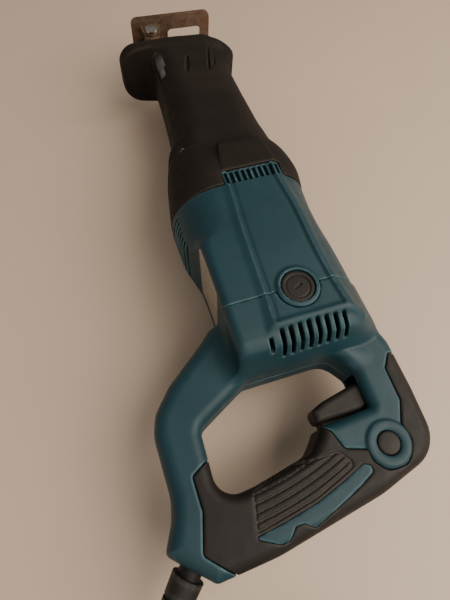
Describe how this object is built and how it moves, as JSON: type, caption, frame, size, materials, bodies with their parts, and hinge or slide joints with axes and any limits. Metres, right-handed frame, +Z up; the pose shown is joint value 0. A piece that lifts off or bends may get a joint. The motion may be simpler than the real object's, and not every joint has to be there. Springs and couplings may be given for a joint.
{
  "type": "reciprocating saw",
  "caption": "Corded reciprocating saw with a closed D-handle, rubber-booted nose, adjustable shoe and tool-less blade clamp.",
  "frame": {"origin": "on the flat band of the saw's right-hand side, the face it rests on when lying down, under the motor's axis", "axes": "+X forward to the shoe, along the motor's axis; +Y towards the saw's underside; +Z up, out of its left-hand side"},
  "size_m": [0.6245, 0.2289, 0.097],
  "materials": {
    "teal_shell": "moulded satin, worn edges",
    "soft_grip": "soft-touch elastomer",
    "black_plastic": "moulded satin",
    "label": "blank printed plate",
    "cast_aluminium": "die cast",
    "machined_steel": "ground",
    "worn_steel": "dark, rust at edges",
    "laminated_steel": "stacked laminations",
    "winding_copper": "enamelled",
    "carbon": "pressed carbon",
    "spring_steel": "drawn wire",
    "screw_steel": "zinc plated",
    "cord_rubber": "ribbed rubber sheath",
    "pin_brass": "plated"
  },
  "bodies": {
    "housing": {"bearing_plate": "cast_aluminium", "brush_caps": "black_plastic", "brush_holders": "black_plastic", "brush_springs": "spring_steel", "carbon_brushes": "carbon", "cord_clamp": "black_plastic", "cord_coil": "cord_rubber", "cord_guard": "black_plastic", "cord_tie": "cord_rubber", "fan_baffle": "black_plastic", "field_windings": "winding_copper", "front_bearing": "machined_steel", "gear_housing": "cast_aluminium", "gear_housing_cover": "cast_aluminium", "grip_left": "soft_grip", "grip_right": "soft_grip", "handle_left": "teal_shell", "handle_right": "teal_shell", "handle_screws": "screw_steel", "label_plate": "label", "lock_spring": "spring_steel", "lower_crank_bearing": "machined_steel", "motor_housing": "teal_shell", "motor_screws": "screw_steel", "noise_filter": "carbon", "plug": "cord_rubber", "plug_pins": "pin_brass", "power_cord": "cord_rubber", "rear_bearing": "machined_steel", "rubber_boot": "soft_grip", "slider_bushes": "machined_steel", "stator_core": "laminated_steel", "switch_body": "black_plastic", "terminal_block": "black_plastic", "trigger_spring": "spring_steel", "upper_crank_bearing": "machined_steel"},
    "armature": {"armature_shaft": "machined_steel", "armature_core": "laminated_steel", "armature_windings": "winding_copper", "commutator": "winding_copper", "cooling_fan": "black_plastic"},
    "crank": {"crank_gear": "machined_steel", "crank_shaft": "machined_steel", "crank_pin": "machined_steel", "crank_roller": "machined_steel"},
    "slider": {"slider": "machined_steel", "clamp_pin": "machined_steel", "clamp_spring": "spring_steel", "clamp_retainer": "machined_steel"},
    "clamp_sleeve": {"clamp_sleeve": "worn_steel"},
    "shoe_bar": {"shoe_bar": "machined_steel", "shoe_pin": "machined_steel"},
    "shoe": {"shoe": "worn_steel"},
    "shoe_button": {"shoe_button": "black_plastic"},
    "trigger": {"trigger": "black_plastic"},
    "lock_button": {"lock_button": "black_plastic"}
  },
  "joints": [
    {"name": "armature_spin", "type": "hinge", "parent": "housing", "child": "armature", "pos_m": [-0.01, 0, 0.0485], "axis": [1, 0, 0], "continuous": true},
    {"name": "crank_spin", "type": "hinge", "parent": "housing", "child": "crank", "pos_m": [0.076, 0.009, 0.0485], "axis": [0, 1, 0], "continuous": true},
    {"name": "slider_stroke", "type": "slide", "parent": "housing", "child": "slider", "axis": [1, 0, 0], "range_m": [-0.014, 0.014]},
    {"name": "clamp_sleeve_turn", "type": "hinge", "parent": "slider", "child": "clamp_sleeve", "pos_m": [0.21, -0.008, 0.0485], "axis": [1, 0, 0], "range_deg": [0, 60], "stiffness_Nm_per_rad": 0.2},
    {"name": "shoe_extension", "type": "slide", "parent": "housing", "child": "shoe_bar", "axis": [1, 0, 0], "range_m": [-0.018, 0.012]},
    {"name": "shoe_tilt", "type": "hinge", "parent": "shoe_bar", "child": "shoe", "pos_m": [0.258, 0.022, 0.0485], "axis": [0, 0, 1], "range_deg": [-8, 15]},
    {"name": "shoe_button_press", "type": "slide", "parent": "housing", "child": "shoe_button", "axis": [0, 0, 1], "range_m": [0, 0.0025], "stiffness_N_per_m": 800},
    {"name": "trigger_pull", "type": "slide", "parent": "housing", "child": "trigger", "axis": [-1, 0, 0], "range_m": [0, 0.0065], "stiffness_N_per_m": 900, "deforming": ["trigger_spring"]},
    {"name": "lock_button_press", "type": "slide", "parent": "housing", "child": "lock_button", "axis": [0, 0, -1], "range_m": [0, 0.003], "stiffness_N_per_m": 700, "deforming": ["lock_spring"]}
  ],
  "couplings": [
    {"joint": "crank_spin", "follows": "armature_spin", "ratio": 0.14286}
  ]
}
